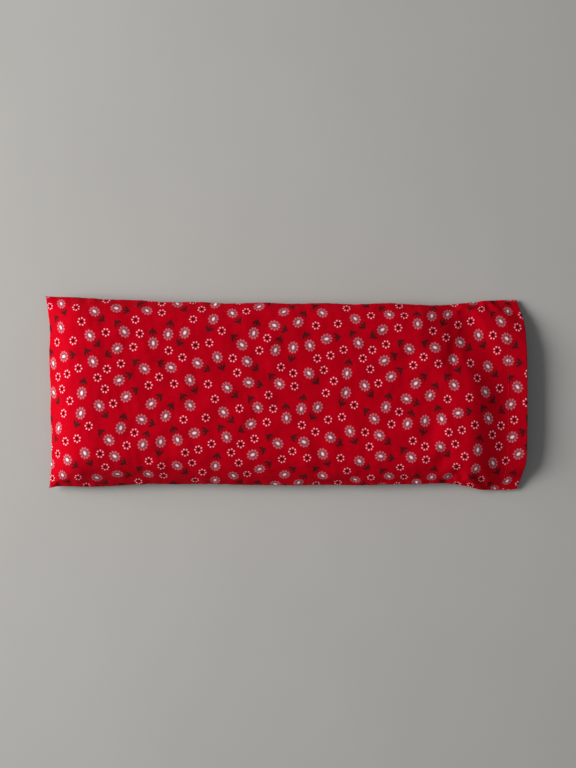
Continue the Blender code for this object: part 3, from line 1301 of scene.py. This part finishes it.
@dataclass
class Insert:
    """The calico bag of flax seed that slides into the cover.

    Attributes:
        form: its outer form.
        flat_length: flat length of a calico panel, in metres.
        flat_width: flat width of a calico panel, in metres.
        cloth_gap: from the seed to the calico's outer face, in metres.
        filling_gap: length of the gap that it was filled through, sewn shut by hand.
        stitch_pitch: from one machine stitch to the next, in metres.
        stitch_length: visible length of a stitch, in metres.
        closing_radius: radius of the thread that closes the filling gap.
        body: the body that its pieces ride on.
    """

    form: BagForm
    flat_length: float = 0.2185
    flat_width: float = 0.0925
    cloth_gap: float = 0.45 * MM
    filling_gap: float = 0.050
    stitch_pitch: float = 2.4 * MM
    stitch_length: float = 2.0 * MM
    closing_radius: float = 0.22 * MM
    body: str = "insert"

    def build(self) -> None:
        """Sew the bag round the seed and report its pieces."""
        pouch = Pouch("liner", self.flat_length, self.flat_width, closed_stop=True, rows=88,
                      columns=36)
        start = pouch.follow(self.form)
        cores = [core_mesh("seed_core", self.form.grown(-self.cloth_gap)),
                 table_mesh("cover_floor", 0.05 * MM)]
        draped = Draping(cap=0.4 * MM).run(pouch, start, cores)
        calico = Calico().make()
        thread = SewingThread("spun_polyester_ecru", "#E6DCC4", "#A89878").make()
        seeds = self.seed_bed()
        sides = self.side_stitches(pouch, draped, thread)
        closing = self.closing_stitches(pouch, draped, thread)
        panels = {}
        for side, name, node in ((Side.FRONT, "liner_top_panel", "liner_front"),
                                 (Side.BACK, "liner_under_panel", "liner_back")):
            panel = self.panel(pouch, draped, side)
            panels[side] = declare(panel.build(name, (calico,)), node)
        for piece in (*panels.values(), seeds, sides, closing):
            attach(piece, self.body)
            report(piece)

    def panel(self, pouch: Pouch, draped: np.ndarray, side: Side) -> ClothPanel:
        """One calico panel, lumpy from the seed behind it."""
        return ClothPanel(pouch, draped, side, filled_to=1.0, lump=0.10 * MM, lump_pitch=0.010,
                          seed=50 + side.value, thickness=0.3 * MM, rows=220, columns=96)

    def seed_bed(self) -> Object:
        """Make the loose seed as one bed, with bumps that vanish on its rim.

        The bumps are wider than a seed, because bumps of a seed's size are too fine to show.

        Returns:
            The bed.
        """
        shell = Pouch("flax_seed_bed", 1.0, 1.0, closed_stop=True, rows=190, columns=90)
        points = shell.follow(self.form.grown(-2.2 * self.cloth_gap))
        rim = np.minimum.reduce([shell.along, 1 - shell.along, 0.4 * (1 - np.abs(shell.across))])
        bump = 0.22 * MM * ease(rim / 0.03) * ripple(points[:, 0], points[:, 1], 0.0032, seed=71)
        points[:, 2] += bump * shell.side
        made = mesh_object(shell.name, points, shell.faces())
        made.data.materials.append(FlaxSeed().make())
        return declare(made, "seed_fill")

    def gap_column(self, pouch: Pouch) -> int:
        """The pouch's column where the filling gap starts; it ends as far from the other side."""
        return int(round(pouch.columns * (1 - self.filling_gap / self.flat_width) / 2))

    def side_stitches(self, pouch: Pouch, draped: np.ndarray, thread: Material) -> Object:
        """Sew machine stitches round all four sides, apart from the filling gap.

        Args:
            pouch: the bag.
            draped: its draped vertex positions.
            thread: the thread.

        Returns:
            The stitches as one piece.
        """
        corners = draped[pouch.numbers[Side.FRONT]]
        gap = self.gap_column(pouch)
        paths = [(corners[:, 0], -Y_AXIS), (corners[:, -1], Y_AXIS), (corners[0], -X_AXIS),
                 (corners[-1, :gap + 1], X_AXIS), (corners[-1, -gap - 1:], X_AXIS)]
        made = seam_stitches("liner_side_stitches", paths, self.stitch_pitch, self.stitch_length,
                             thread)
        return declare(made, "liner_seam_thread")

    def closing_stitches(self, pouch: Pouch, draped: np.ndarray, thread: Material) -> Object:
        """Sew slanted hand stitches over the edge of the filling gap.

        Args:
            pouch: the bag.
            draped: its draped vertex positions.
            thread: the thread.

        Returns:
            The stitches as one piece.
        """
        edge = draped[pouch.numbers[Side.FRONT]][-1]
        gap = self.gap_column(pouch)
        places, headings = spaced(edge[gap:-gap], 3.6 * MM)
        slanted = unit(0.55 * headings + 0.85 * UP)
        made = stitches("liner_closing_stitches", places + 0.1 * MM * X_AXIS, slanted,
                        np.broadcast_to(X_AXIS, places.shape), 2.8 * MM, thread,
                        radius=self.closing_radius)
        return declare(made, "liner_closing_thread")


@dataclass(frozen=True)
class Fold:
    """A soft slanted fold that runs into the cover's low side seam.

    Attributes:
        place: where it meets the seam, in metres along the cover.
        slant: how far it moves along the cover for each metre across.
        width: how far aside its depth falls to 1/e.
        depth: how deep it is.
    """

    place: float
    slant: float
    width: float
    depth: float


@dataclass
class Cover:
    """The printed cotton cover, sewn shut on three sides and hemmed at its open end.

    Attributes:
        insert: form of the insert that it is draped over.
        closed_x, mouth_x: its two ends, in metres.
        half_width: half its width in the middle.
        flat_length: flat length of a panel from the closed end to the finished mouth.
        flat_width: flat width of a panel.
        hem: length of the hem that is folded inside.
        hem_stitch_inset: from the mouth to the hem's stitches.
        flap_height: how high the empty end stands over the table.
        corner_height: height of the side seams over the table at the mouth.
        corner_pull: how far the side seams draw the mouth's corners in.
        closed_ears: how far the closed corners stick out past the middle.
        closed_flare, mouth_flare: extra half width at the two ends.
        closed_flare_run: length over which the closed end's flare dies away.
        mouth_flare_from, mouth_flare_run: where the mouth's flare starts, counted back from the
            mouth, and the length over which it grows.
        skin_gap: room between the insert and the cover's outer face.
        seam_wave: height of the slow waves of the side seams.
        lean: how far the middle line wanders sideways.
        sink_x: where the top panel starts to sink past the filling.
        sink_run: length of that slope.
        folds: the soft folds past the filling.
        stitch_pitch: from one stitch to the next.
        stitch_length: visible length of a stitch.
        keep_flat: share of its height that the empty cover keeps; not used.
        body: the body that its pieces ride on.
    """

    insert: BagForm
    closed_x: float
    mouth_x: float
    half_width: float
    flat_length: float = 0.2435
    flat_width: float = 0.0965
    hem: float = 0.012
    hem_stitch_inset: float = 0.009
    flap_height: float = 8.1 * MM
    corner_height: float = 1.6 * MM
    corner_pull: float = 0.0036
    closed_ears: float = 1.7 * MM
    closed_flare: float = 3.2 * MM
    mouth_flare: float = 3.2 * MM
    closed_flare_run: float = 0.075
    mouth_flare_from: float = 0.044
    mouth_flare_run: float = 0.028
    skin_gap: float = 0.75 * MM
    seam_wave: float = 0.22 * MM
    lean: float = 1.6 * MM
    sink_x: float = 0.0893
    sink_run: float = 0.022
    folds: tuple = (
        Fold(0.079, 0.9, 1.5 * MM, 1.0 * MM),
        Fold(0.0855, 0.5, 1.3 * MM, 0.7 * MM),
        Fold(0.099, -0.7, 2.2 * MM, 0.8 * MM),
    )
    stitch_pitch: float = 2.4 * MM
    stitch_length: float = 1.9 * MM
    keep_flat: float = 0.3
    body: str = "cover"

    @property
    def skin(self) -> BagForm:
        """The insert's form with room for the cover, drawn out to the cover's closed end."""
        return replace(self.insert.grown(self.skin_gap), start_x=self.closed_x)

    def build(self, layout: FlowerLayout) -> None:
        """Sew the cover, drape it over the insert and report its pieces.

        Args:
            layout: where the print's motifs fall.
        """
        pouch = Pouch("cover", self.flat_length, self.flat_width, closed_stop=False, rows=96,
                      columns=38)
        cores = [core_mesh("insert_core", self.insert), core_mesh("flap_core", self.flap_core()),
                 table_mesh("table", -0.35 * MM)]
        worn = pouch.spread(self.worn, self.closed_x, self.mouth_x)
        draped = Draping(cap=1.2 * MM).run(pouch, worn, cores)
        cotton = PrintedCotton()
        faces = (cotton.make(Face.PRINTED), cotton.make(Face.REVERSE))
        thread = SewingThread("spun_polyester_red", "#B8041A", "#A00014").make()
        sides = self.side_stitches(pouch, draped, thread)
        pieces = [sides]
        for side, place, node in ((Side.FRONT, "top", "front"), (Side.BACK, "under", "back")):
            panel = self.panel(pouch, draped, side)
            cloth = panel.build(f"cover_{place}_panel", faces, layout)
            hem = self.hem_stitches(f"hem_{place}_stitches", panel, thread)
            declare(cloth, f"cover_{node}")
            declare(hem, f"hem_thread_{node}")
            pieces += [cloth, hem]
        for piece in pieces:
            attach(piece, self.body)
            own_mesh(piece)
            report(piece)

    def flap_core(self) -> BagForm:
        """Shape a hidden lens for the stiffness of the hems, which hold the mouth open.

        Returns:
            The lens's form.
        """
        seam = 0.0022
        stop_run = 0.003
        return BagForm(
            start_x=0.1035, stop_x=self.mouth_x - 0.0015, half_width=0.038, base_z=0.003,
            crown_start_z=self.flap_height, crown_stop_z=self.flap_height, seam_low_z=seam,
            seam_high_z=seam, seam_stop_z=seam, start_run=0.006, stop_run=stop_run,
            stop_run_high=stop_run, base_run=0.004)

    def worn(self, x: np.ndarray, across: np.ndarray, side: np.ndarray) -> np.ndarray:
        """The cover pulled on: it follows the insert, and past it sinks to the flap's level.

        The sink is a smooth step. It is steep over most of the width and gentle towards the high
        seam. The side seams flare at both ends and sink to the table at the mouth, where they
        also draw the corners in. Slow waves run along all the seams.

        Args:
            x: places along the cover in metres.
            across: -1 to 1 between the side seams.
            side: 1 on the top panel and -1 on the under one.

        Returns:
            Points in metres.
        """
        skin = self.skin
        body = skin.surface(np.minimum(x, skin.stop_x - skin.stop_run), across, side)
        gentle = ease((across - 0.35) / 0.4)
        slope = self.sink_run * (1 + 1.4 * gentle)
        sunk = ease((x - self.sink_x + self.sink_run * gentle) / slope)
        level = np.where(side > 0, self.flap_height + 0.8 * MM, 0.7 * MM)
        flap = self.corner_height + (level - self.corner_height) * (1 - across**4)
        z = body[..., 2] * (1 - sunk) + flap * sunk
        closed = 1 - swell(x - self.closed_x, self.closed_flare_run, 2)
        mouth = ease((x - self.mouth_x + self.mouth_flare_from) / self.mouth_flare_run)
        seam = across**8
        half = self.half_width + self.closed_flare * closed + self.mouth_flare * mouth
        wave = self.seam_wave * seam * ripple(x, 0.2 * across, 0.034, seed=5)
        y = across * (half + wave) + self.lean * (0.5 - ease((x - self.closed_x) / 0.16))
        z = z + 0.8 * self.seam_wave * seam * ripple(x, 0.3 * across, 0.041, seed=6) * (1 - sunk)
        end = 1 - swell(x - self.closed_x, 0.012, 2)
        edge_wave = 0.3 * MM * ripple(body[..., 1], 0 * x, 0.019, seed=7)
        x = x + end * (edge_wave - self.closed_ears * across**6)
        drawn = np.clip((np.abs(across) - 0.66) / 0.34, 0, 1) ** 1.6
        x = x - self.corner_pull * drawn * ease((x - self.mouth_x + 0.03) / 0.03)
        z = z - self.tuck(x, y, z)
        return np.stack([x, y, z], -1)

    def tuck(self, x: np.ndarray, y: np.ndarray, z: np.ndarray) -> np.ndarray:
        """Work out the depth of the soft folds that run into the low seam past the filling.

        Each is a bell across its line, and another bell fades it away from the seam.

        Args:
            x, y, z: places on the cover in metres.

        Returns:
            How far the cloth lies lower, none where it is on the table.
        """
        inward = y + self.half_width
        near = bell(inward - 0.003, 0.005)
        depth = 0 * x
        for fold in self.folds:
            aside = x - fold.place - fold.slant * inward
            depth = depth + fold.depth * near * bell(aside, fold.width)
        return depth * (z > 0.001)

    def panel(self, pouch: Pouch, draped: np.ndarray, side: Side) -> ClothPanel:
        """Make one printed panel; on the table's side the filling's lumps barely show.

        Args:
            pouch: the cover's pouch.
            draped: its draped vertex positions.
            side: which panel.

        Returns:
            The panel, not built yet.
        """
        lump = 0.13 * MM if side is Side.FRONT else 0.05 * MM
        return ClothPanel(pouch, draped, side, filled_to=self.insert.stop_x - self.closed_x,
                          lump=lump, lump_pitch=0.014, seed=20 + side.value, hem=self.hem,
                          hem_stitch_inset=self.hem_stitch_inset)

    def side_stitches(self, pouch: Pouch, draped: np.ndarray, thread: Material) -> Object:
        """Sew the two long sides and the closed end; the stitches lie in the seam's groove.

        Args:
            pouch: the cover's pouch.
            draped: its draped vertex positions.
            thread: the thread.

        Returns:
            The stitches as one piece.
        """
        corners = draped[pouch.numbers[Side.FRONT]]
        paths = [(corners[:, 0], -Y_AXIS), (corners[:, -1], Y_AXIS), (corners[0], -X_AXIS)]
        made = seam_stitches("cover_side_stitches", paths, self.stitch_pitch, self.stitch_length,
                             thread)
        return declare(made, "cover_seam_thread")

    def hem_stitches(self, name: str, panel: ClothPanel, thread: Material) -> Object:
        """Sew one row of stitches across a panel, parallel to the mouth.

        Args:
            name: the piece's name.
            panel: the panel.
            thread: the thread.

        Returns:
            The stitches as one piece.
        """
        across = np.linspace(-0.985, 0.985, 160)
        at = 1 - self.hem_stitch_inset / self.flat_length
        points, normals, _ = panel.surface(np.array([at]), across)
        places, headings = spaced(points[0], self.stitch_pitch)
        nearest = np.interp(places[:, 1], points[0, :, 1], np.arange(len(across)))
        out = normals[0][nearest.round().astype(int)]
        return stitches(name, places, headings, out, self.stitch_length, thread)


def seam_stitches(name: str, paths: list, pitch: float, length: float, thread: Material,
                  sunk: float = 0.62 * MM) -> Object:
    """Stitches along several stretches of seam, sunk into the seam's groove.

    Args:
        name: the piece's name.
        paths: for each stretch its points, and the direction that it faces.
        pitch: from one stitch to the next, in metres.
        length: visible length of a stitch.
        thread: its material.
        sunk: how far inside the seam the stitches lie.

    Returns:
        One piece that holds all the stitches.
    """
    places, headings, out = [], [], []
    for path, facing in paths:
        at, along = spaced(path - sunk * facing, pitch)
        places.append(at)
        headings.append(along)
        out.append(np.broadcast_to(facing, at.shape))
    joined = (np.concatenate(part) for part in (places, headings, out))
    return stitches(name, *joined, length, thread, radius=0.16 * MM)


def report(piece: Object) -> None:
    """Log a piece's name, faces and box.

    Args:
        piece: the piece.
    """
    corners = np.array(piece.bound_box) / MM
    low, high = corners.min(0), corners.max(0)
    log.info("%s: %d faces, x %.1f to %.1f, y %.1f to %.1f, z %.1f to %.1f mm", piece.name,
             len(piece.data.polygons), low[0], high[0], low[1], high[1], low[2], high[2])


# ---------------------------------------------------------------- studio


@dataclass
class Studio:
    """Pale floor, one large soft light from the left, and a camera straight above.

    Attributes:
        eye: place of the camera.
        view_height: height of the camera's view at the level of the side seams.
        seam_level: that level.
        light_place, light_aim: where the light hangs, and the point that it faces.
        light_size: its side in metres.
        light_power: its power in watts.
        light_spread: how wide it shines, in degrees.
        sky_colour, sky_strength: the even light from all around.
        floor_half_size: half a side of the floor, in metres.
    """

    eye: tuple = (0.0005, 0.00475, 0.58)
    view_height: float = 0.384
    seam_level: float = 0.008
    light_place: tuple = (-1.10, 0.18, 0.60)
    light_aim: tuple = (-0.10, 0.0, 0.0)
    light_size: float = 0.80
    light_power: float = 8.7
    light_spread: float = 100.0
    sky_colour: str = "#DDE2E8"
    sky_strength: float = 0.27
    floor_half_size: float = 3.0

    def build(self) -> None:
        """Make the floor, the lights and the camera."""
        floor = table_mesh("studio_floor", 0.0, self.floor_half_size)
        floor.data.materials.append(PaleFloor().make())
        scene = bpy.context.scene
        scene.view_settings.view_transform = "Standard"
        self.light(scene)
        self.place_camera(scene)

    def light(self, scene: bpy.types.Scene) -> None:
        """Light the sky evenly and hang the one large light.

        Args:
            scene: the scene.
        """
        scene.world = bpy.data.worlds.new("studio_sky")
        scene.world.use_nodes = True
        sky = scene.world.node_tree.nodes["Background"]
        sky.inputs["Color"].default_value = linear(self.sky_colour)
        sky.inputs["Strength"].default_value = self.sky_strength
        window = bpy.data.lights.new("window", "AREA")
        window.energy = self.light_power
        window.shape = "SQUARE"
        window.size = self.light_size
        window.spread = np.radians(self.light_spread)
        lamp = bpy.data.objects.new("window", window)
        lamp.location = self.light_place
        toward = Vector(self.light_aim) - Vector(self.light_place)
        lamp.rotation_euler = toward.to_track_quat("-Z", "Y").to_euler()
        scene.collection.objects.link(lamp)

    def place_camera(self, scene: bpy.types.Scene) -> None:
        """Hang the camera over the pillow, looking straight down.

        Args:
            scene: the scene.
        """
        lens = bpy.data.cameras.new("camera")
        lens.lens = lens.sensor_width * (self.eye[2] - self.seam_level) / self.view_height
        camera = bpy.data.objects.new("camera", lens)
        camera.location = self.eye
        scene.collection.objects.link(camera)
        scene.camera = camera


def main() -> None:
    """Build the studio, the insert and the cover."""
    low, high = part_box("cover_front")
    liner_low, liner_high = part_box("liner_back")
    form = BagForm(
        start_x=liner_low.x + 0.0012,
        stop_x=liner_high.x - 0.0015,
        half_width=liner_high.y - 0.5 * MM,
        base_z=0.9 * MM,
        crown_start_z=high.z - 1.1 * MM,
        crown_stop_z=high.z - 7.0 * MM,
        seam_low_z=4.8 * MM,
        seam_high_z=8.8 * MM,
        seam_stop_z=3.6 * MM,
        stop_run=0.014,
        stop_run_high=0.040,
    )
    Studio().build()
    Insert(form).build()
    cover = Cover(
        form.grown(0.2 * MM),
        closed_x=low.x + 0.6 * MM,
        mouth_x=high.x - 0.4 * MM,
        half_width=(high.y - low.y) / 2 - 2.3 * MM,
    )
    cover.build(FlowerLayout())


if __name__ == "__main__":
    main()
